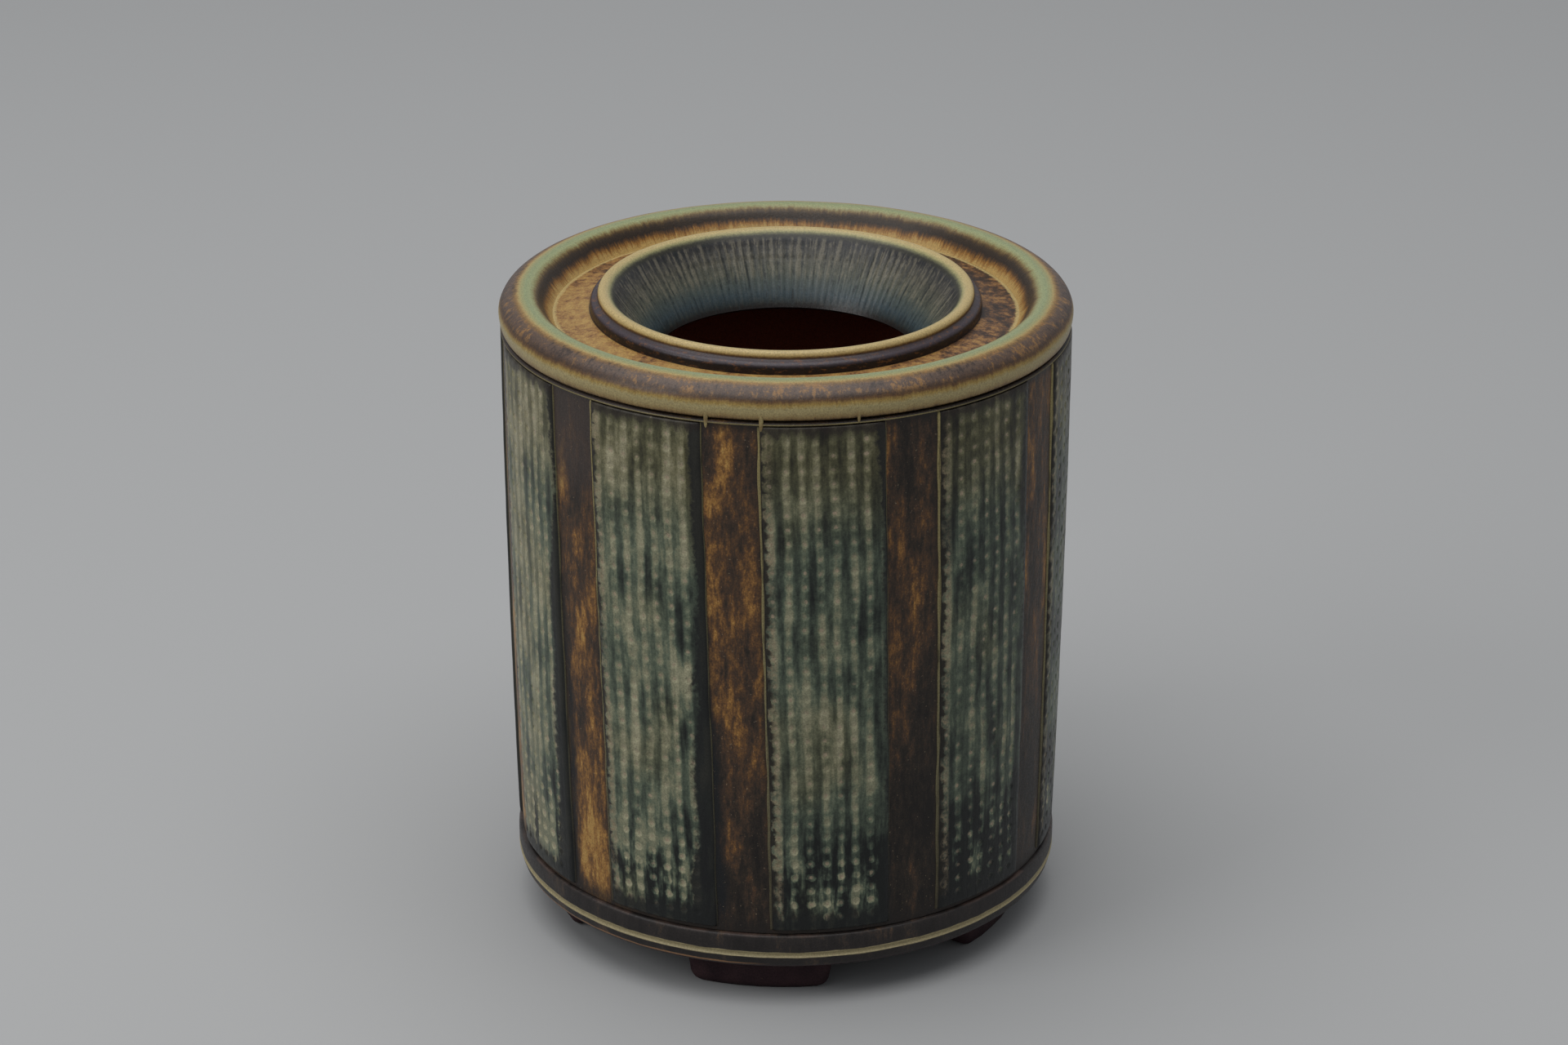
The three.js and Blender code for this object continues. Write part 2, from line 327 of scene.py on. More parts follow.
def fire(tree, at, colour, coats, dullness, relief, depth=0.1, gloss=0.3):
    """Lays coats over the colour, each as far as it covers, speckles it and fires it: the range of
    its roughness, its relief to a depth in millimetres, and how much of the room its satin skin
    throws back."""
    for cover, coat in coats:
        colour = add(tree, "Mix", {0: cover, 6: colour, 7: coat}, out=2, data_type="RGBA")
    scaled = add(tree, "VectorMath", (at.place, per(SPECKLE)), operation="MULTIPLY")
    speckle = add(tree, "TexNoise", {
        "Vector": scaled, "Scale": 1.0, "Detail": 2.0, "Roughness": 0.6}, out="Fac")
    speckle = add(tree, "MapRange", (speckle, 0.3, 0.7, 0.74, 1.24))
    speckled = add(tree, "VectorMath", {0: colour, 3: speckle}, operation="SCALE")
    bumps = add(tree, "Bump", {"Height": relief, "Strength": 1.0, "Distance": depth * MM})
    shader = add(tree, "BsdfPrincipled", {
        "Base Color": speckled, "Roughness": add(tree, "MapRange", dullness), "IOR": 1.5,
        "Specular IOR Level": gloss, "Normal": bumps})
    add(tree, "OutputMaterial", {"Surface": shader})


def weighed(tree, patterns, weights):
    """Three patterns added up by their weights."""
    joined = add(tree, "CombineXYZ", patterns)
    return add(tree, "VectorMath", (joined, weights), out="Value", operation="DOT_PRODUCT")


def iron_heat(tree, at, lift=0.0):
    """How far iron glaze breaks, from near-black where thick through rust to amber in ragged runs."""
    heat = weighed(tree, (at.runs, at.patches, at.ragged), (0.7, 1.0, 0.55))
    heat = add(tree, "Math", (heat, lift), operation="ADD")
    heat = add(tree, "Math", (at.grain, 0.16, heat), operation="MULTIPLY_ADD")
    return add(tree, "MapRange", (heat, 0.95, 1.53))


def wall_glaze():
    """Tenmoku, an iron-brown glaze brushed on the strips and fired satin: umber and rust with amber
    runs, navy-black where the panels' celadon pooled beside a joint."""
    material, tree, at = start_glaze("tenmoku_wall_glaze", wide=((30, 30, 50), 2, 0.5), **IRON)
    lean = add(tree, "MapRange", (at.height, panel_high, panel_low, 0.0, PANEL_LEAN), clamp=False)
    turned = add(tree, "Math", (at.angle, lean), operation="SUBTRACT")
    # How rich in amber each strip is, from the back round by the left, the front and the right. Those
    # from the far left to the back are richest near the foot, the others higher up.
    richness = add(tree, "ValToRGB", (add(tree, "MapRange", (turned, -math.pi, math.pi)),), stops=[
        (0.0, "a8a8a8"), (0.35, "b8b8b8"), (0.40, "b8b8b8"), (0.44, "cecece"), (0.50, "cecece"),
        (0.54, "8a8a8a"), (0.60, "8a8a8a"), (0.64, "a8a8a8"), (1.0, "a8a8a8")])
    lift = add(tree, "MapRange", (richness, 0.0, 1.0, -0.10, 0.22))
    low_lift = add(tree, "MapRange", (at.height, 60 * MM, 110 * MM, -0.16, 0.0), **SOFT)
    by_side = add(tree, "MapRange", (turned, math.radians(-36), math.radians(-22), -1.0, 1.0))
    lift = add(tree, "Math", (low_lift, by_side, lift), operation="MULTIPLY_ADD")
    heat = iron_heat(tree, at, lift)
    colour = add(tree, "ValToRGB", (heat,), stops=[
        (0.0, "1a1512"), (0.28, "2b231c"), (0.46, "403024"), (0.60, "543b26"), (0.74, "74512c"),
        (0.88, "966c37"), (1.0, "ab8549")])
    # Round the wall from the right edge of each panel, in metres. Celadon pooled there, wider
    # towards the foot and on the left of the front.
    past = add(tree, "Math", (turned, PANEL_FIRST + PANEL_ANGLE / 2), operation="SUBTRACT")
    past = add(tree, "Math", (past, PANEL_PITCH, 0.0), operation="WRAP")
    past = add(tree, "Math", (past, bead_radius), operation="MULTIPLY")
    pool_width = add(tree, "MapRange", (at.height, 150 * MM, 40 * MM, 1.0 * MM, 3.2 * MM))
    pool_width = add(tree, "Math", (at.wide, 8 * MM, pool_width), operation="MULTIPLY_ADD")
    from_left = add(tree, "MapRange", (turned, math.radians(-8), math.radians(8), 0.0, -3.2 * MM))
    pool_width = add(tree, "Math", (pool_width, from_left), operation="ADD")
    pool = add(tree, "Math", (past, pool_width), operation="SUBTRACT")
    pool = add(tree, "MapRange", (pool, -2.2 * MM, -5.5 * MM, 0.0, 0.92), **SOFT)
    # Painted shade at the foot, beside the next panel and at the top, under the raised edge.
    low_shade = add(tree, "MapRange", (
        at.height, wall_low + 7 * MM, wall_low + 1 * MM, 0.0, 0.8), **SOFT)
    next_panel = add(tree, "Math", (past, (PANEL_PITCH - PANEL_ANGLE) * bead_radius), operation="SUBTRACT")
    side_shade = add(tree, "MapRange", (next_panel, -2.4 * MM, -1.0 * MM, 0.0, 0.6), **SOFT)
    top_shade = add(tree, "MapRange", (
        at.height, panel_high - 3.5 * MM, panel_high - 0.2 * MM, 0.0, 0.75), **SOFT)
    # Thick plum-black glaze over the upper part of the left strips.
    far_left = add(tree, "MapRange", (turned, math.radians(-24), math.radians(-34)))
    plum = add(tree, "Math", (at.wide, 30 * MM, at.height), operation="MULTIPLY_ADD")
    plum = add(tree, "MapRange", (plum, panel_high - 22 * MM, panel_high, 0.0, 0.85), **SOFT)
    plum = add(tree, "Math", (plum, far_left), operation="MULTIPLY")
    # The raised line round the top edge is olive.
    line = add(tree, "Math", (at.height, wall_high - 0.75 * MM, 0.26 * MM), operation="COMPARE")
    uneven = add(tree, "MapRange", (at.wide, 0.4, 0.6, 0.5, 1.0))
    line = add(tree, "Math", (line, uneven), operation="MULTIPLY")
    specks = add(tree, "MapRange", (at.grain, 0.70, 0.76, 0.0, 0.5))
    inside = add(tree, "MapRange", (at.radius, bead_radius - 3.4 * MM, bead_radius - 4.2 * MM))
    fire(tree, at, colour, [
        (pool, "131619"), (low_shade, "221c19"), (side_shade, "241d18"), (top_shade, "211b17"),
        (plum, "3d3430"), (line, "6f6443"), (specks, "a5947a"), (inside, "8a4630")],
        (at.grain, 0.3, 0.75, 0.34, 0.54), heat, 0.12)
    return material


def panel_glaze():
    """Celadon laid over dark slip on pressed clay and fired satin. It ran down the rows of dots and
    stands pale in them, with warm flecks of slip, and thins to black-green near the foot."""
    material, tree, at = start_glaze(
        "celadon_over_slip_panel_glaze", "laid", clouds=((8, 19, 100), 4, 0.6),
        runs=((2.8, 22, 100), 3, 0.6), wide=((26, 42, 100), 1, 0.5), lumps=((1.3, 1.5, 100), 3, 0.6))
    flat = add(tree, "SeparateXYZ", (at.laid,)).node.outputs
    across, up = flat["X"], flat["Y"]
    # How far each point is from the middle of the nearest dot, in dots' radii, and a number for
    # that dot's own strength.
    in_cell = add(tree, "VectorMath", (at.laid, (0, END_BORDER, 0.05)), operation="SUBTRACT")
    cell = add(tree, "VectorMath", (in_cell, (column_width, row_height, 0.1)), operation="SNAP")
    own = add(tree, "TexWhiteNoise", {"Vector": cell}, out="Value", noise_dimensions="3D")
    from_dot = add(tree, "VectorMath", (
        in_cell, (column_width, row_height, 0.1), (0, 0, 0)), operation="WRAP")
    from_dot = add(tree, "VectorMath", (
        from_dot, (column_width / 2, row_height / 2, 0)), operation="SUBTRACT")
    from_dot = add(tree, "VectorMath", (
        from_dot, (1 / DOT_RADIUS, 1 / DOT_RADIUS, 0)), operation="MULTIPLY")
    dot = add(tree, "VectorMath", (from_dot,), out="Value", operation="LENGTH")
    lower = add(tree, "MapRange", (up, 40 * MM, 13 * MM), **SOFT)
    upper = add(tree, "MapRange", (up, 118 * MM, 150 * MM), **SOFT)
    column = add(tree, "Math", (across, math.tau / column_width), operation="MULTIPLY")
    column = add(tree, "Math", (column,), operation="COSINE")
    column = add(tree, "MapRange", (column, 0.7, -0.8), **SOFT)
    # A dot is a disc with an uneven edge, faint in the left edge and none in the right border.
    edge = add(tree, "Math", (at.lumps, 1.3, dot), operation="MULTIPLY_ADD")
    ragged = add(tree, "Math", (at.lumps, 4 * MM, across), operation="MULTIPLY_ADD")
    left = add(tree, "MapRange", (ragged, 5.9 * MM, 4.7 * MM), **SOFT)
    strength = add(tree, "MapRange", (own, 0.0, 1.0, 0.6, 1.15))
    fading = add(tree, "MapRange", (left, 0.0, 1.0, 1.0, 0.3))
    pressed = add(tree, "Math", (across, PANEL_WIDTH - RIGHT_BORDER), operation="LESS_THAN")
    disc = add(tree, "MapRange", (edge, 1.9, 1.4), **SOFT)
    for factor in (strength, fading, pressed):
        disc = add(tree, "Math", (disc, factor), operation="MULTIPLY")
    # How thick the pale glaze lies. Painted light falling from the left: the panels are drawn paler
    # towards the left of the front and darker towards the right.
    thick = weighed(tree, (at.clouds, at.runs, at.wide), (1.3, 0.9, 0.5))
    painted_side_light = add(tree, "MapRange", (at.angle, math.radians(-60), math.radians(60), 0.78, 1.02))
    thick = add(tree, "Math", (thick, painted_side_light), operation="SUBTRACT")
    streak = add(tree, "MapRange", (lower, 0.0, 1.0, 0.19, 0.07))
    thick = add(tree, "Math", (column, streak, thick), operation="MULTIPLY_ADD")
    harder = add(tree, "Math", (thick, 0.52), operation="SUBTRACT")
    harder = add(tree, "Math", (harder, 2.6, 0.47), operation="MULTIPLY_ADD")
    harder = add(tree, "Math", (harder, 0.72), operation="MINIMUM")
    thick = add(tree, "Mix", {0: lower, 2: thick, 3: harder}, data_type="FLOAT")
    in_dot = add(tree, "MapRange", (lower, 0.0, 1.0, 0.12, 0.42))
    thick = add(tree, "Math", (disc, in_dot, thick), operation="MULTIPLY_ADD")
    thick = add(tree, "Math", (at.lumps, 0.3, thick), operation="MULTIPLY_ADD")
    thick = add(tree, "Math", (thick, 0.15), operation="SUBTRACT")
    colour = add(tree, "ValToRGB", (thick,), stops=[
        (0.10, "141716"), (0.25, "262c26"), (0.38, "394137"), (0.50, "4a5345"), (0.62, "5f6755"),
        (0.76, "7c7c64"), (1.0, "99957a")])
    olive = add(tree, "ValToRGB", (thick,), stops=[
        (0.10, "1f1a12"), (0.30, "34301d"), (0.50, "514b30"), (0.68, "716a4d"), (1.0, "989176")])
    topping = add(tree, "Math", (upper, 0.75), operation="MULTIPLY")
    warm = add(tree, "MapRange", (at.wide, 0.5, 0.7, 0.0, 0.5), **SOFT)
    centre = add(tree, "MapRange", (edge, 1.25, 0.85, 0.0, 0.85), **SOFT)
    for factor in (own, pressed):
        centre = add(tree, "Math", (centre, factor), operation="MULTIPLY")
    # Beige slip in flecks along the left edge, with dark bites between them.
    fleck = add(tree, "MapRange", (at.lumps, 0.42, 0.60, 0.1, 0.8), **SOFT)
    fleck = add(tree, "Math", (left, fleck), operation="MULTIPLY")
    patchy = add(tree, "MapRange", (at.clouds, 0.36, 0.58, 0.25, 1.0))
    fleck = add(tree, "Math", (fleck, patchy), operation="MULTIPLY")
    bitten = add(tree, "Math", (at.lumps, 2.0, edge), operation="MULTIPLY_ADD")
    bitten = add(tree, "Math", (own, 1.3, bitten), operation="MULTIPLY_ADD")
    bite = add(tree, "MapRange", (bitten, 3.5, 4.2, 0.0, 0.95), **SOFT)
    at_edge = add(tree, "MapRange", (across, 2.6 * MM, 1.0 * MM), **SOFT)
    bite = add(tree, "Math", (bite, at_edge), operation="MULTIPLY")
    # Thick dark glaze down the right border, which widens towards the foot on the left of the
    # front, and along the foot and the top edge.
    waver = across
    for pattern, shift in ((at.wide, 7 * MM), (at.clouds, 7 * MM), (at.lumps, 4 * MM)):
        waver = add(tree, "Math", (pattern, shift, waver), operation="MULTIPLY_ADD")
    pooled = add(tree, "MapRange", (up, 0.8 * panel_height, 0.0, 0.0, 5.5 * MM))
    on_left = add(tree, "MapRange", (at.angle, math.radians(-2), math.radians(-10)))
    waver = add(tree, "Math", (pooled, on_left, waver), operation="MULTIPLY_ADD")
    right = add(tree, "MapRange", (
        waver, PANEL_WIDTH + 6.0 * MM, PANEL_WIDTH + 8.2 * MM, 0.0, 0.95), **SOFT)
    low_edge = add(tree, "Math", (at.runs, -14 * MM, up), operation="MULTIPLY_ADD")
    low_edge = add(tree, "MapRange", (low_edge, 0.5 * MM, -3.0 * MM, 0.0, 0.94), **SOFT)
    top_edge = add(tree, "Math", (at.lumps, 3 * MM, up), operation="MULTIPLY_ADD")
    top_edge = add(tree, "Math", (at.runs, 9 * MM, top_edge), operation="MULTIPLY_ADD")
    top_edge = add(tree, "MapRange", (
        top_edge, panel_height + 2.2 * MM, panel_height + 5.0 * MM, 0.0, 0.88), **SOFT)
    # The slip that squeezed out of the joints, broken and green lower down.
    broken = add(tree, "MapRange", (at.runs, 0.36, 0.46, 0.35, 1.0))
    seam = add(tree, "ValToRGB", (add(tree, "MapRange", (up, 0.0, panel_height)),), stops=[
        (0.0, "453f2f"), (0.3, "6b6449"), (0.6, "7e7450"), (0.9, "877b52"), (1.0, "938659")])
    beside = add(tree, "MapRange", (across, 0.35 * MM, 0.0, 0.0, 0.8))
    outside_left = add(tree, "MapRange", (across, -0.08 * MM, -0.25 * MM))
    outside_right = add(tree, "MapRange", (
        across, PANEL_WIDTH + 0.1 * MM, PANEL_WIDTH + 0.2 * MM, 0.0, 0.4))
    slip = add(tree, "Math", (outside_left, outside_right), operation="MAXIMUM")
    slip = add(tree, "Math", (slip, broken), operation="MULTIPLY")
    relief = add(tree, "Math", (at.lumps, 0.5, thick), operation="MULTIPLY_ADD")
    fire(tree, at, colour, [
        (topping, olive), (warm, olive), (centre, "a08e78"), (fleck, "877860"), (bite, "1b1813"),
        (right, "141516"), (low_edge, "151717"), (top_edge, "241d19"), (beside, "1b1813"),
        (slip, seam)], (at.lumps, 0.3, 0.7, 0.30, 0.46), relief)
    return material


def round_ring(tree, at, widths, rise):
    """A point's place on a ring whose radius is so many widths of a run of glaze, raised by a value."""
    level = add(tree, "VectorMath", {0: at.outwards, 3: widths}, operation="SCALE")
    return add(tree, "VectorMath", (level, add(tree, "CombineXYZ", {2: rise})), operation="ADD")


def bled(tree, at, along, ring_radius, bleed):
    """Moves the borders of glaze bands on a ring to and fro: each run of glaze across the bands is
    1 mm wide, so the borders are fringed, and they sway over lengths of 12 mm."""
    rise = add(tree, "Math", (along, 6.0), operation="MULTIPLY")
    fringed = round_ring(tree, at, ring_radius / (1.0 * MM), rise)
    fringe = add(tree, "TexNoise", {
        "Vector": fringed, "Scale": 1.0, "Detail": 3.0, "Roughness": 0.65}, out="Fac")
    sway = add(tree, "TexNoise", {"Vector": fringed, "Scale": 0.085, "Detail": 2.0}, out="Fac")
    shift = add(tree, "Math", (sway, 0.7, fringe), operation="MULTIPLY_ADD")
    shift = add(tree, "Math", (shift, 0.85), operation="SUBTRACT")
    return add(tree, "Math", (shift, bleed, along), operation="MULTIPLY_ADD")


def rim_glaze():
    """Celadon over tenmoku, poured in rings and fired satin: green on the crest, cream below it, and
    iron brown breaking to amber where the two run thin."""
    material, tree, at = start_glaze("celadon_over_tenmoku_rim_glaze", grain=GRAIN)
    # The bands follow the angle round the roll's section, from 0 under its outside to 1 at the
    # foot of its inner slope.
    above = add(tree, "Math", (at.height, rim_crest - 4.6 * MM), operation="SUBTRACT")
    beyond = add(tree, "Math", (at.radius, crest_radius), operation="SUBTRACT")
    section = add(tree, "Math", (above, beyond), operation="ARCTAN2")
    section = add(tree, "Math", (section, math.radians(315), math.radians(-45)), operation="WRAP")
    band = add(tree, "MapRange", (section, math.radians(-45), math.radians(225)))
    bleed = add(tree, "MapRange", (band, 0.42, 0.66, 0.045, 0.13), **SOFT)
    # The first stop, near-black under the roll's outside, is painted shade beneath the rim.
    colour = add(tree, "ValToRGB", (bled(tree, at, band, crest_radius, bleed),), stops=[
        (0.03, "33261a"), (0.04, "5c4426"), (0.06, "8a7246"), (0.09, "9d8c60"), (0.125, "a09267"),
        (0.155, "8f763f"), (0.18, "5a4025"), (0.20, "3f2e22"), (0.24, "4e3d33"), (0.31, "56453a"),
        (0.345, "6b5131"), (0.375, "8a6f42"), (0.40, "9a8757"), (0.43, "8c885e"), (0.49, "808864"),
        (0.555, "898e67"), (0.60, "827f56"), (0.635, "715f38"), (0.67, "4e3b1f"), (0.71, "34281c"),
        (0.785, "281d14"), (0.82, "4e3418"), (0.85, "835a24"), (0.885, "a5864c")])
    # Streaks 1.6 mm wide that run across the brown band.
    rise = add(tree, "Math", (band, 13.0), operation="MULTIPLY")
    streaked = round_ring(tree, at, crest_radius / (1.6 * MM), rise)
    patches = add(tree, "TexNoise", {
        "Vector": streaked, "Scale": 1.0, "Detail": 6.0, "Roughness": 0.72}, out="Fac")
    wide = add(tree, "TexNoise", {"Vector": streaked, "Scale": 0.14, "Detail": 2.0}, out="Fac")
    patches = add(tree, "Math", (wide, 0.5, patches), operation="MULTIPLY_ADD")
    patches = add(tree, "Math", (patches, 0.25), operation="SUBTRACT")
    brown_from = add(tree, "MapRange", (band, 0.175, 0.24), **SOFT)
    brown_to = add(tree, "MapRange", (band, 0.42, 0.33), **SOFT)
    brown = add(tree, "Math", (brown_from, brown_to), operation="MULTIPLY")
    amber = add(tree, "MapRange", (patches, 0.53, 0.66, 0.0, 0.7), **SOFT)
    dark = add(tree, "MapRange", (patches, 0.47, 0.36, 0.0, 0.8), **SOFT)
    amber = add(tree, "Math", (brown, amber), operation="MULTIPLY")
    dark = add(tree, "Math", (brown, dark), operation="MULTIPLY")
    mottle = add(tree, "MapRange", (at.grain, 0.35, 0.2, 0.0, 0.5))
    fire(tree, at, colour, [(amber, "8d6738"), (dark, "2e2522"), (mottle, "5a4a33")],
         (at.grain, 0.3, 0.75, 0.3, 0.48), at.grain, 0.05, 0.36)
    return material


def drip_glaze():
    """Cream celadon where it ran over the rim's edge: thick, satin and faintly mottled."""
    material, tree, at = start_glaze("cream_celadon_drips", mottle=((0.9, 0.9, 1.8), 3, 0.5))
    colour = add(tree, "ValToRGB", (at.mottle,), stops=[(0.35, "7a6640"), (0.65, "94855a")])
    fire(tree, at, colour, [], (at.mottle, 0.3, 0.7, 0.3, 0.45), at.mottle, 0.05)
    return material


def collar_glaze():
    """Cream celadon on the lip over near-black tenmoku, and slate-blue glaze run down the funnel's
    fluting, fired satin: pale on the ridges, dark in the furrows, brown where it thins at the mouth."""
    material, tree, at = start_glaze(
        "cream_lip_slate_funnel_glaze", clods=((2.6, 2.6, 1.0), 5, 0.7), grain=GRAIN)
    low_lip = add(tree, "MapRange", (at.height, lip_crest - 6 * MM, lip_crest))
    # The grey-plum stops from 0.42 to 0.62 are the ledge's plum glaze, lightened by a painted highlight
    # where its rounded top catches the light.
    colour = add(tree, "ValToRGB", (bled(tree, at, low_lip, lip_radius, 0.10),), stops=[
        (0.0, "1c1516"), (0.32, "181415"), (0.42, "332a2e"), (0.52, "3a3137"), (0.62, "362c2e"),
        (0.70, "4f3824"), (0.76, "8f7345"), (0.81, "b39b66"), (1.0, "ab9768")])
    rusty = add(tree, "MapRange", (at.clods, 0.54, 0.64, 0.0, 0.6), **SOFT)
    below_lip = add(tree, "MapRange", (low_lip, 0.72, 0.64))
    rusty = add(tree, "Math", (rusty, below_lip), operation="MULTIPLY")
    inwards = add(tree, "MapRange", (at.radius, lip_radius - 2.0 * MM, lip_inner - 0.4 * MM))
    inner = add(tree, "ValToRGB", (bled(tree, at, inwards, lip_inner, 0.22),), stops=[
        (0.0, "ab9768"), (0.20, "a8986b"), (0.38, "8f885d"), (0.52, "5f5d42"), (0.66, "302e24"),
        (1.0, "1e1e1b")])
    top_side = add(tree, "MapRange", (at.radius, lip_radius - 1.6 * MM, lip_radius - 2.0 * MM))
    # Slate down the funnel, with pale runs on its ridges that stop where it pools blue.
    depth = add(tree, "MapRange", (at.height, lip_crest - 3 * MM, mouth))
    slate = add(tree, "ValToRGB", (depth,), stops=[
        (0.0, "2b2a2b"), (0.10, "3d3b37"), (0.25, "49473d"), (0.45, "4b4d42"), (0.62, "3f4845"),
        (0.78, "303d42"), (0.88, "222b2d"), (0.95, "161714"), (1.0, "110c09")])
    fluting = add(tree, "Math", (at.angle, float(FLUTES)), operation="MULTIPLY")
    fluting = add(tree, "Math", (fluting,), operation="COSINE")
    streaks = []
    for length, scale, detail in ((12 * MM, 1.0, 4), (1.6 * MM, 0.8, 3)):
        rise = add(tree, "Math", (at.height, 1 / length), operation="MULTIPLY")
        run_down = round_ring(tree, at, lip_inner / (1.15 * MM), rise)
        streaks.append(add(tree, "TexNoise", {
            "Vector": run_down, "Scale": scale, "Detail": detail, "Roughness": 0.65}, out="Fac"))
    runs, clots = streaks
    pale = weighed(tree, (fluting, runs, clots), (-0.045, 0.75, 0.45))
    high_up = add(tree, "MapRange", (depth, 0.62, 0.42, 0.08, 0.48), **SOFT)
    ridge = add(tree, "MapRange", (pale, 0.58, 0.70), **SOFT)
    ridge = add(tree, "Math", (ridge, high_up), operation="MULTIPLY")
    furrow = add(tree, "MapRange", (pale, 0.56, 0.46, 0.0, 0.75), **SOFT)
    ragged = add(tree, "Math", (runs, -5 * MM, at.height), operation="MULTIPLY_ADD")
    thin = add(tree, "MapRange", (ragged, mouth - 0.8 * MM, mouth - 2.4 * MM), **SOFT)
    for cover, coat in ((ridge, "7a7362"), (furrow, "1c2020"), (thin, "140c08")):
        slate = add(tree, "Mix", {0: cover, 6: slate, 7: coat}, out=2, data_type="RGBA")
    funnel = add(tree, "MapRange", (at.radius, lip_inner + 0.7 * MM, lip_inner - 0.3 * MM), **SOFT)
    under = add(tree, "MapRange", (at.height, mouth - 0.3 * MM, mouth - 0.7 * MM))
    fire(tree, at, colour, [(rusty, "6b4526"), (top_side, inner), (funnel, slate), (under, "2c1710")],
         (at.grain, 0.3, 0.75, 0.28, 0.46), at.grain, 0.05, 0.36)
    return material


def shoulder_glaze():
    """Tan glaze over tenmoku, brushed round the shoulder and fired satin: flecked with plum-brown,
    pooled pale at the foot of the rim, darkest at the back on the right."""
    material, tree, at = start_glaze(
        "tan_over_tenmoku_shoulder_glaze", flecks=((2.2, 2.2, 2.2), 6, 0.72),
        clouds=((12, 12, 12), 3, 0.5), grain=GRAIN)
    turned = add(tree, "Math", (at.angle, math.radians(40)), operation="SUBTRACT")
    side = add(tree, "Math", (turned,), operation="SINE")
    thick = weighed(tree, (at.flecks, at.clouds, side), (0.9, 0.5, 0.12))
    colour = add(tree, "ValToRGB", (thick,), stops=[
        (0.48, "a08048"), (0.62, "8f6b3b"), (0.71, "785430"), (0.79, "4c3320"), (0.88, "2a1d16")])
    trough = add(tree, "MapRange", (at.radius, rim_foot_radius + 0.4 * MM, rim_foot_radius - 3.2 * MM))
    shifted = bled(tree, at, trough, rim_foot_radius, 0.5)
    pooled = add(tree, "MapRange", (shifted, 0.5, 0.25, 0.0, 0.9), **SOFT)
    at_collar = add(tree, "MapRange", (
        at.radius, collar_radius + 0.4 * MM, collar_radius + 0.1 * MM, 0.0, 0.9), **SOFT)
    outside = add(tree, "MapRange", (at.radius, crest_radius, crest_radius + 1 * MM))
    fire(tree, at, colour, [(pooled, "ad9763"), (at_collar, "2c211b"), (outside, "1f1a17")],
         (at.grain, 0.3, 0.75, 0.32, 0.5), at.flecks, 0.06, 0.36)
    return material


def slab_glaze():
    """Tenmoku on the base slab, near-black with a painted plum highlight on its rounded top edge, and one
    cream line of celadon in the groove."""
    material, tree, at = start_glaze("tenmoku_slab_glaze", wavy=((9, 9, 9), 3, 0.5), **IRON)
    heat = iron_heat(tree, at, -0.05)
    colour = add(tree, "ValToRGB", (heat,), stops=[
        (0.0, "201c1b"), (0.5, "2b2624"), (0.7, "40342b"), (1.0, "6d5238")])
    waver = add(tree, "Math", (at.wavy, 0.9 * MM, at.height), operation="MULTIPLY_ADD")
    off_line = add(tree, "Math", (waver, groove_level + 0.45 * MM), operation="SUBTRACT")
    off_line = add(tree, "Math", (off_line,), operation="ABSOLUTE")
    line = add(tree, "MapRange", (off_line, 1.1 * MM, 0.8 * MM), **SOFT)
    # Painted highlight: plum on the rounded top edge, in patches.
    top = add(tree, "MapRange", (at.height, slab_top - 0.9 * MM, slab_top - 0.2 * MM), **SOFT)
    patchy = add(tree, "MapRange", (at.wavy, 0.42, 0.62, 0.0, 0.6), **SOFT)
    top = add(tree, "Math", (top, patchy), operation="MULTIPLY")
    # A thin orange line where the glaze was wiped off the lower edge, on the left of the front.
    left = add(tree, "MapRange", (at.angle, math.radians(-2), math.radians(-14)), **SOFT)
    wiped = add(tree, "Math", (waver, slab_low + 1.5 * MM, 0.35 * MM), operation="COMPARE")
    for factor in (left, 0.8):
        wiped = add(tree, "Math", (wiped, factor), operation="MULTIPLY")
    under = add(tree, "MapRange", (at.height, slab_low + 0.9 * MM, slab_low + 0.3 * MM))
    fire(tree, at, colour, [(line, "968a68"), (top, "54423a"), (wiped, "9c7450"), (under, "2c1f20")],
         (at.grain, 0.3, 0.75, 0.34, 0.54), heat, 0.08)
    return material


def bare_clay():
    """Iron-rich stoneware left bare and fired purple-brown: matt and sandy, with pale grog of half a
    millimetre, drawn a little coarser so that it shows."""
    material, tree, at = start_glaze(
        "bare_iron_stoneware", grog=((0.8, 0.8, 0.8), 4, 0.7), clouds=((9, 9, 9), 3, 0.5))
    colour = add(tree, "ValToRGB", (at.clouds,), stops=[(0.3, "2a1c20"), (0.7, "3b292b")])
    pale = add(tree, "MapRange", (at.grog, 0.66, 0.74, 0.0, 0.8))
    fire(tree, at, colour, [(pale, "6a564a")], (at.grog, 0.3, 0.75, 0.6, 0.8), at.grog, 0.2, 0.15)
    return material


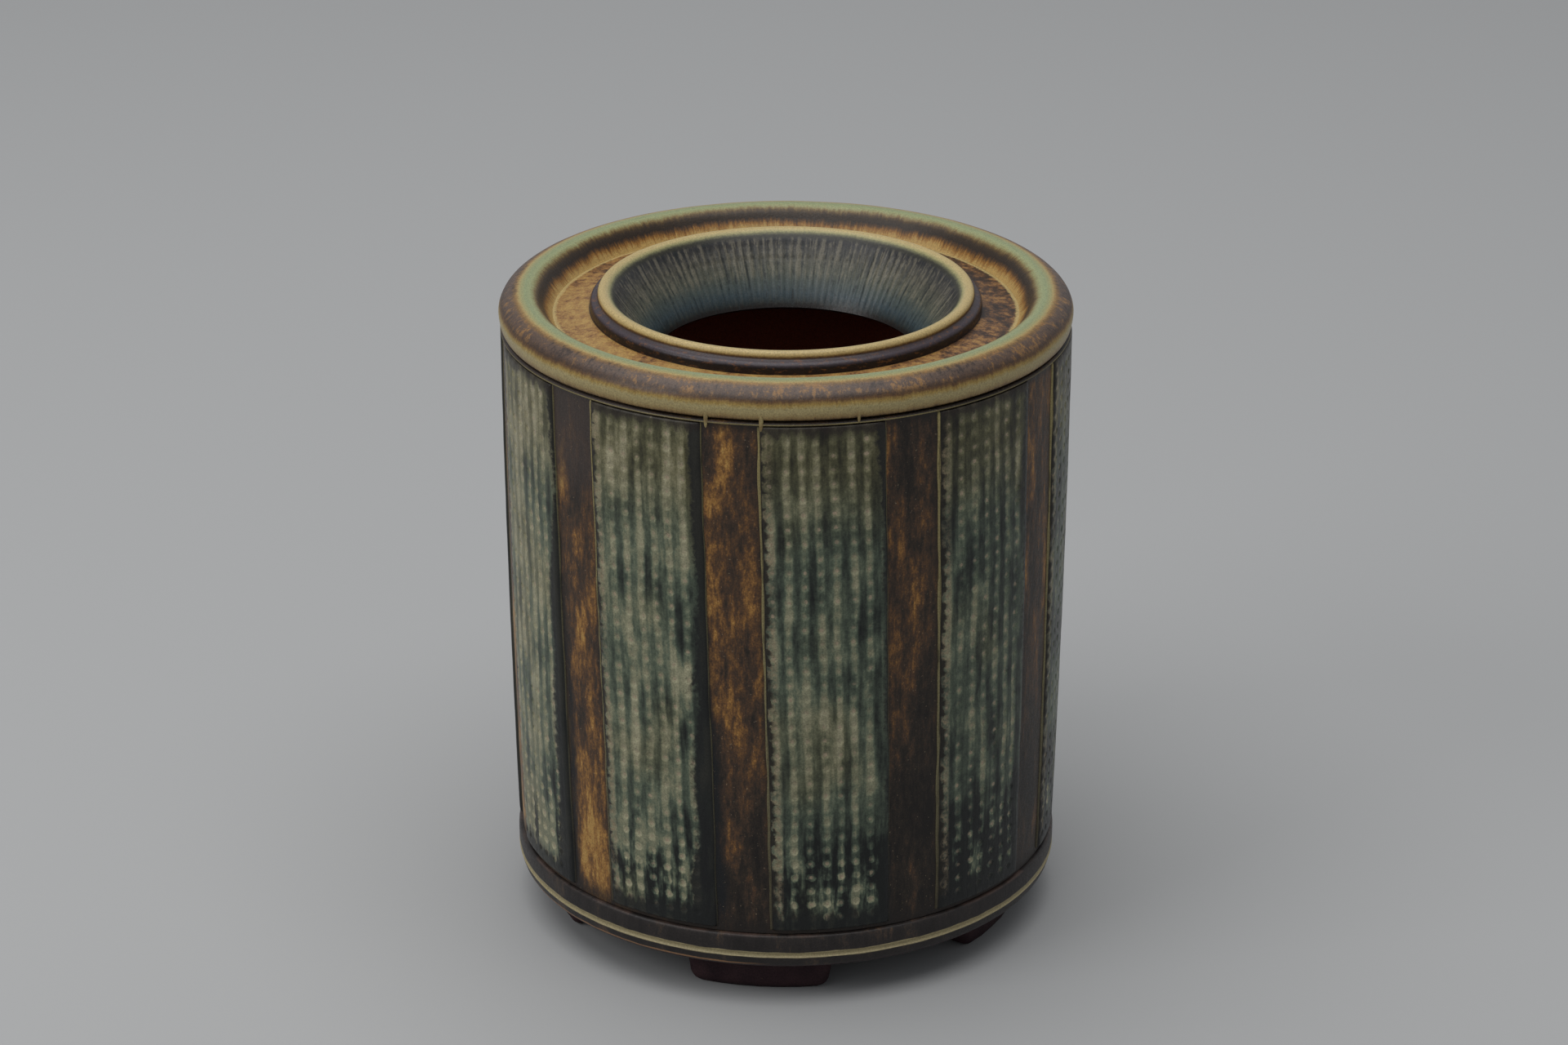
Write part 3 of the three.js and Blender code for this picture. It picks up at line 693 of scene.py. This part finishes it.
# Pieces.
def base_slab():
    side = curve([
        (slab_radius - 1.6 * MM, slab_low), (slab_radius - 0.7 * MM, slab_low + 1.2 * MM),
        (slab_radius - 0.15 * MM, groove_level - 1.2 * MM), (slab_radius, groove_level - 0.8 * MM)], 4)
    line = curve([
        (slab_radius, groove_level - 0.75 * MM), (slab_radius - 0.4 * MM, groove_level - 0.3 * MM),
        (slab_radius - 0.4 * MM, groove_level + 0.3 * MM), (slab_radius, groove_level + 0.75 * MM)], 4)
    top = curve([
        (slab_radius, groove_level + 0.9 * MM), (slab_radius, slab_top - 1.8 * MM),
        (slab_radius - 0.35 * MM, slab_top - 0.4 * MM), (slab_radius - 1.3 * MM, slab_top),
        (slab_radius - 2.4 * MM, slab_top)], 5)
    underside = [(r, slab_low) for r in between(0, slab_radius - 1.8 * MM, 6)]
    inside_floor = high("base_slab")
    inner = body_foot_radius - PANEL_PROUD - WALL_THICKNESS - JOINT
    inside = [(inner, slab_top)] + [(r, inside_floor) for r in between(inner, 0, 6)]
    piece = turn("glazed_base_slab", underside + side + line + top + inside)
    unevenness(piece, 0.12 * MM, 20 * MM)
    smooth(piece)
    dress(piece, slab_glaze(), "base_glaze", "base_slab")


def wall():
    outside = [(face_radius(z) - PANEL_PROUD, z) for z in between(wall_low, wall_high - 1.2 * MM, 60)]
    edge = face_radius(wall_high)
    bead = curve([
        (edge - PANEL_PROUD, wall_high - 1.15 * MM), (edge - 0.4 * MM, wall_high - 1.0 * MM),
        (edge - 0.2 * MM, wall_high - 0.75 * MM), (edge - 0.45 * MM, wall_high - 0.3 * MM),
        (edge - PANEL_PROUD, wall_high)], 4)
    inner = PANEL_PROUD + WALL_THICKNESS
    inside = [(face_radius(z) - inner, z) for z in between(wall_high, wall_low, 20)]
    outline = outside + bead + inside
    piece = turn("glazed_wall", outline + outline[:1])
    unevenness(piece, 0.15 * MM, 12 * MM)
    smooth(piece)
    dress(piece, wall_glaze(), "wall_glaze", "wall_cylinder")


def flat_panel():
    """One panel laid flat with its face at height 0: a slab pressed with rows of dots, and along
    each side the bead of slip that squeezed out when it was luted to the wall."""
    left_slip = [(-0.95, -1.2), (-0.75, -0.62), (-0.3, -0.52), (-0.04, -0.85)]
    right_slip = [(0.04, -0.85), (0.2, -0.65), (0.42, -0.75), (0.6, -1.2)]
    across = [(x * MM, z * MM) for x, z in left_slip]
    across += [(x, 0) for x in between(0, PANEL_WIDTH - RIGHT_BORDER, DOT_COLUMNS)]
    across += [(PANEL_WIDTH, 0)] + [(PANEL_WIDTH + x * MM, z * MM) for x, z in right_slip]
    first = len(left_slip)
    bevel_length, bevel_fall = END_BEVEL
    up = [0, bevel_length, *between(END_BORDER, panel_height - END_BORDER, DOT_ROWS),
          panel_height - bevel_length, panel_height]
    deselect()
    bpy.ops.mesh.primitive_grid_add(x_subdivisions=len(across) - 1, y_subdivisions=len(up) - 1, size=1)
    piece = bpy.context.object
    bpy.ops.object.mode_set(mode="EDIT")
    bpy.ops.mesh.extrude_region_move(TRANSFORM_OT_translate={"value": (0, 0, 1)})
    bpy.ops.object.mode_set(mode="OBJECT")
    ragged = [random.uniform(-0.22, 0.22) * MM for _ in up]
    for vertex in piece.data.vertices:
        i = round((vertex.co.x + 0.5) * (len(across) - 1))
        j = round((vertex.co.y + 0.5) * (len(up) - 1))
        x, z = across[i]
        if i <= first:
            x += ragged[j]
        if j in (0, len(up) - 1):
            z -= bevel_fall
        vertex.co = (x, up[j], z if vertex.co.z > 0.5 else -PANEL_PROUD - SINK)
    face_outwards(piece)

    strengths, shares = list(DOT_STRENGTHS), list(DOT_STRENGTHS.values())
    strength = {(i, j): random.choices(strengths, shares)[0]
                for i in range(DOT_COLUMNS) for j in range(DOT_ROWS)}

    def cell(place):
        return int(place[0] // column_width), int((place[1] - END_BORDER) // row_height)

    for press in strengths:
        edit(piece, lambda face: face.normal.z > 0.9 and face.area > 0.7 * column_width * row_height
             and strength.get(cell(face.center)) == press)
        bpy.ops.mesh.inset(thickness=0.8 * MM, use_individual=True)
        bpy.ops.mesh.inset(thickness=0.45 * MM, depth=-DOT_DEPTH * press, use_individual=True)
        bpy.ops.object.mode_set(mode="OBJECT")
    finish_with(piece, "SUBSURF", levels=1, render_levels=1)

    # Each dot's square outline is drawn round, and the left edge notched between the rows.
    notch_width, notch_depth = NOTCH
    for vertex in piece.data.vertices:
        x, y, z = vertex.co
        column, row = cell(vertex.co)
        if not (0 <= column < DOT_COLUMNS and 0 <= row < DOT_ROWS and z > -0.6 * MM):
            continue
        centre_x, centre_y = (column + 0.5) * column_width, END_BORDER + (row + 0.5) * row_height
        dx, dy = x - centre_x, y - centre_y
        square = max(abs(dx) / (column_width / 2), abs(dy) / (row_height / 2))
        round_off = min(max((1 - square) / 0.4, 0), 1) if square > 0 else 0
        if round_off and math.hypot(dx, dy) > 0:
            stretch = square * min(column_width, row_height) / 2 / math.hypot(dx, dy)
            dx, dy = (d * (1 - round_off + round_off * stretch) for d in (dx, dy))
        if x < notch_width:
            into = 1 - max(x, 0) / notch_width
            z -= notch_depth * into * (0.5 + 0.5 * math.cos(math.tau * dy / row_height))
        vertex.co = (centre_x + dx, centre_y + dy, z)
    return piece


def panel(number, flat, glaze):
    """A copy of the flat panel bent round the wall, with its own slight drift and unevenness."""
    name = f"panel_{number:02d}"
    piece = copy_of(flat, "pressed_" + name)
    laid = piece.data.attributes.new("laid", "FLOAT_VECTOR", "POINT")
    laid.data.foreach_set("vector", [
        part for vertex in piece.data.vertices for part in (vertex.co.x, vertex.co.y, number * 0.1)])
    middle = PANEL_FIRST + PANEL_PITCH * (number - 1)

    # The rows drift sideways by up to 1.3 mm and rise by up to 0.9 mm, and the sides sway by 0.35 mm.
    def place(x, y, z):
        inner = math.sin(math.pi * min(max(x / PANEL_WIDTH, 0), 1))
        drift = noise.noise((x / (9 * MM), y / (45 * MM), number * 3.7)) * 1.3 * MM * inner
        drift += noise.noise((0.5, y / (14 * MM), number * 5.3)) * 0.35 * MM
        rise = noise.noise((x / (6 * MM), y / (30 * MM), number * 7.1)) * 0.9 * MM * inner
        rise *= math.sin(math.pi * min(max(y / panel_height, 0), 1))
        level = panel_low + y + rise
        lean = PANEL_LEAN * (panel_high - level) / panel_height
        turned = (x + drift) / PANEL_WIDTH - 0.5
        return middle + lean + turned * PANEL_ANGLE, face_radius(level) + z, level

    wrap(piece, place)
    unevenness(piece, 0.15 * MM, 9 * MM)
    smooth(piece, 60)
    dress(piece, glaze, "panel_glaze", name)


def shoulder():
    inner = lip_inner + 2.4 * MM
    face = [(r, shoulder_face) for r in between(shoulder_radius, rim_foot_radius + 0.4 * MM, 12)]
    rise = curve([
        (rim_foot_radius, shoulder_face), (rim_foot_radius - 3 * MM, shoulder_face + 0.25 * MM),
        (collar_radius + 3 * MM, crown_face - 0.3 * MM), (collar_radius, crown_face - 0.05 * MM),
        (inner, crown_face - 0.05 * MM)], 6)
    under = [(r, shoulder_low) for r in between(inner, shoulder_radius, 4)]
    outline = face + rise + under
    piece = turn("glazed_shoulder", outline + outline[:1])
    unevenness(piece, 0.15 * MM, 12 * MM)
    smooth(piece)
    dress(piece, shoulder_glaze(), "shoulder_glaze", "shoulder_plate")


def rim():
    belly = shoulder_face + 0.8 * MM
    skirt = shoulder_radius + JOINT
    outside = [(crest_radius + RIM_BULGE * math.cos(a), belly + (rim_crest - belly) * math.sin(a))
               for a in between(0, math.pi / 2, 28)]
    slope = curve([
        (crest_radius, rim_crest), (crest_radius - 1.8 * MM, rim_crest - 0.35 * MM),
        (crest_radius - 3.4 * MM, rim_crest - 1.45 * MM), (crest_radius - 5.15 * MM, rim_crest - 3.8 * MM),
        (crest_radius - 7.0 * MM, rim_crest - 6.2 * MM), (rim_foot_radius, shoulder_face - 0.05 * MM)], 6)
    below = curve([
        (skirt, rim_low - RIM_SLUMP), (crest_radius + 7.6 * MM, rim_low - 0.6 * RIM_SLUMP),
        (crest_radius + 8.1 * MM, rim_low + 0.9 * MM), (rim_radius, belly)], 5)
    outline = [(skirt, shoulder_face - 0.05 * MM)] + below + outside[1:] + slope[1:]
    piece = turn("rolled_rim", outline + outline[:1], steps=360)
    unevenness(piece, 0.12 * MM, 15 * MM)
    smooth(piece)
    dress(piece, rim_glaze(), "rim_glaze", "rim_ring")


def collar():
    seat = crown_face - 0.1 * MM
    crest = lip_radius - LIP_ROUNDING
    inner_lip = lip_crest - LIP_FALL
    outside = curve([
        (collar_radius, seat), (collar_radius - 0.1 * MM, seat + 2.0 * MM),
        (collar_radius - 0.7 * MM, seat + 2.95 * MM), (collar_radius - 1.8 * MM, seat + 3.4 * MM),
        (lip_radius + 0.05 * MM, seat + 3.8 * MM), (lip_radius, lip_crest - LIP_ROUNDING)], 5)
    top = [(crest + LIP_ROUNDING * math.cos(a), lip_crest - LIP_ROUNDING + LIP_ROUNDING * math.sin(a))
           for a in between(0, math.pi / 2, 9)]
    slope = [(crest - (crest - lip_inner) * t, lip_crest - LIP_FALL * t**2) for t in between(0, 1, 10)]
    funnel = []
    for t in between(0, 1, 26)[1:]:
        inward = t + 0.25 * (math.sin(t * math.pi / 2) - t)
        funnel.append((
            lip_inner + (MOUTH_RADIUS - lip_inner) * inward, inner_lip + (mouth - inner_lip) * t))
    under = curve([
        funnel[-1], (MOUTH_RADIUS + 0.7 * MM, mouth - 0.7 * MM),
        (MOUTH_RADIUS + 2.3 * MM, mouth - 0.95 * MM), (MOUTH_RADIUS + 4.6 * MM, mouth),
        (lip_inner + 2.2 * MM, shoulder_low), (lip_inner + 2.2 * MM, seat)], 4)
    outline = outside + top[1:] + slope[1:] + funnel + under[1:]
    piece = turn("fluted_collar", outline + outline[:1], steps=4 * FLUTES)
    # The flutes fade in over a tenth of the funnel's drop and out over a third of it, and are
    # pinched every 1.5 mm near the lip.
    first, last = 0.02, 0.97
    for vertex in piece.data.vertices:
        x, y, z = vertex.co
        radius = math.hypot(x, y)
        down = (inner_lip - z) / (inner_lip - mouth)
        if radius > lip_inner + 0.2 * MM or not first < down < last or vertex.normal.z < -0.2:
            continue
        fade = min((down - first) / 0.1, (last - down) / 0.35, 1)
        dotted = 1 + 0.8 * math.cos(math.tau * z / (1.5 * MM)) if down < 0.3 else 1
        pressed = FLUTE_DEPTH * fade * dotted * (0.5 + 0.5 * math.cos(FLUTES * math.atan2(x, -y)))
        vertex.co.x += pressed * x / radius
        vertex.co.y += pressed * y / radius
    smooth(piece)
    dress(piece, collar_glaze(), "collar_glaze", "neck_collar")


def drip(number, angle, top, bottom, width, glaze):
    """A run of glaze down the wall's face, widest where it leaves the rim."""
    deselect()
    bpy.ops.mesh.primitive_uv_sphere_add(segments=16, ring_count=12, radius=0.5)
    piece = bpy.context.object
    piece.name = piece.data.name = f"glaze_drip_{number}"
    carrier = face_radius(bottom) - 0.6 * PANEL_PROUD
    for vertex in piece.data.vertices:
        x, y, z = vertex.co
        swell = 0.7 + 0.6 * max(z, 0)
        turned = angle + x * swell * width / carrier
        radius = carrier + 0.1 * MM - y * swell * min(width, 1.1 * MM)
        height = (top + bottom) / 2 + z * (top - bottom)
        vertex.co = (radius * math.sin(turned), -radius * math.cos(turned), height)
    face_outwards(piece)
    smooth(piece, 60)
    dress(piece, glaze, "rim_glaze")


def flat_foot():
    """One foot before it is bent: a block of slab with its outer face at y = 0, wider at the top, its
    lower edges rubbed round."""
    deselect()
    bpy.ops.mesh.primitive_cube_add(size=1)
    piece = bpy.context.object
    piece.name = piece.data.name = "flat_foot"
    for vertex in piece.data.vertices:
        half = FOOT_WIDTH / 2 + (FOOT_FLARE if vertex.co.z > 0 else 0)
        vertex.co = (math.copysign(half, vertex.co.x), FOOT_DEPTH * (vertex.co.y - 0.5),
                     (foot_high + 0.1 * MM) * (vertex.co.z + 0.5))
    corners = piece.data.vertices
    edit(piece, lambda edge: min(corners[i].co.z for i in edge.vertices) < MM, "edges")
    bpy.ops.mesh.bevel(offset=FOOT_ROUNDING, segments=6, profile=0.5)
    bpy.ops.mesh.select_all(action="SELECT")
    bpy.ops.mesh.subdivide(number_cuts=5)
    bpy.ops.object.mode_set(mode="OBJECT")
    return piece


def foot(number, flat, clay):
    """A copy of the flat foot bent to the base slab's curve, with its own unevenness."""
    name = f"foot_{number}"
    piece = copy_of(flat, "slab_" + name)
    outer = slab_radius - FOOT_SETBACK
    middle = FOOT_FIRST + math.tau / FEET * (number - 1)
    mid_radius = outer - FOOT_DEPTH / 2
    wrap(piece, lambda x, y, z: (middle + x / mid_radius, outer + y, z))
    face_outwards(piece)
    unevenness(piece, 0.25 * MM, 7 * MM)
    for vertex in piece.data.vertices:
        if vertex.co.z < 0.3 * MM:
            vertex.co.z = 0
    smooth(piece)
    dress(piece, clay, "bare_clay", name)


# The stage and the camera.
def stage():
    deselect()
    bpy.ops.mesh.primitive_plane_add(size=8)
    floor = bpy.context.object
    floor.name = "pale_floor"
    material = bpy.data.materials.new("pale_grey_paper")
    material.use_nodes = True
    shader = material.node_tree.nodes["Principled BSDF"]
    shader.inputs["Base Color"].default_value = linear("a4a4a4")
    shader.inputs["Roughness"].default_value = 0.9
    shader.inputs["Specular IOR Level"].default_value = 0.2
    floor.data.materials.append(material)


def softbox(name, place, target, size, power):
    light = bpy.data.lights.new(name, "AREA")
    light.shape = "RECTANGLE"
    light.size, light.size_y = size
    light.energy = power
    lamp = bpy.data.objects.new(name, light)
    lamp.location = place
    lamp.rotation_euler = (Vector(target) - Vector(place)).to_track_quat("-Z", "Y").to_euler()
    bpy.context.scene.collection.objects.link(lamp)


def camera():
    view = bpy.data.cameras.new("camera")
    view.lens = CAMERA_LENS
    view.sensor_width = 36
    seat = bpy.data.objects.new("camera", view)
    seat.location = CAMERA_PLACE
    seat.rotation_euler = (math.radians(90 - CAMERA_DOWN), 0, math.radians(CAMERA_TURN))
    bpy.context.scene.collection.objects.link(seat)
    bpy.context.scene.camera = seat


def studio_light():
    world = bpy.data.worlds.new("studio")
    world.use_nodes = True
    sky = world.node_tree.nodes["Background"]
    sky.inputs["Color"].default_value = (0.92, 0.96, 1.0, 1)
    sky.inputs["Strength"].default_value = 0.36
    bpy.context.scene.world = world
    centre = (0, 0, 0.1)
    softbox("overhead_softbox", (-0.18, -0.1, 1.9), centre, (2.4, 2.0), 31)
    softbox("left_front_softbox", (-1.5, -0.9, 1.2), centre, (1.0, 1.0), 9)


camera()
base_slab()
wall()
sage = panel_glaze()
flat = flat_panel()
for number in range(1, PANELS + 1):
    panel(number, flat, sage)
bpy.data.objects.remove(flat)
shoulder()
rim()
collar()
cream = drip_glaze()
drip(1, math.radians(-15.4), rim_low + 1.4 * MM, wall_high - 2.6 * MM, 1.7 * MM, cream)
drip(2, math.radians(-4.7), rim_low + 1.4 * MM, wall_high - 2.8 * MM, 1.8 * MM, cream)
drip(3, math.radians(14), rim_low + 1.0 * MM, wall_high - 0.8 * MM, 1.3 * MM, cream)
clay = bare_clay()
block = flat_foot()
for number in range(1, FEET + 1):
    foot(number, block, clay)
bpy.data.objects.remove(block)
stage()
studio_light()
bpy.context.scene.view_settings.view_transform = "Standard"
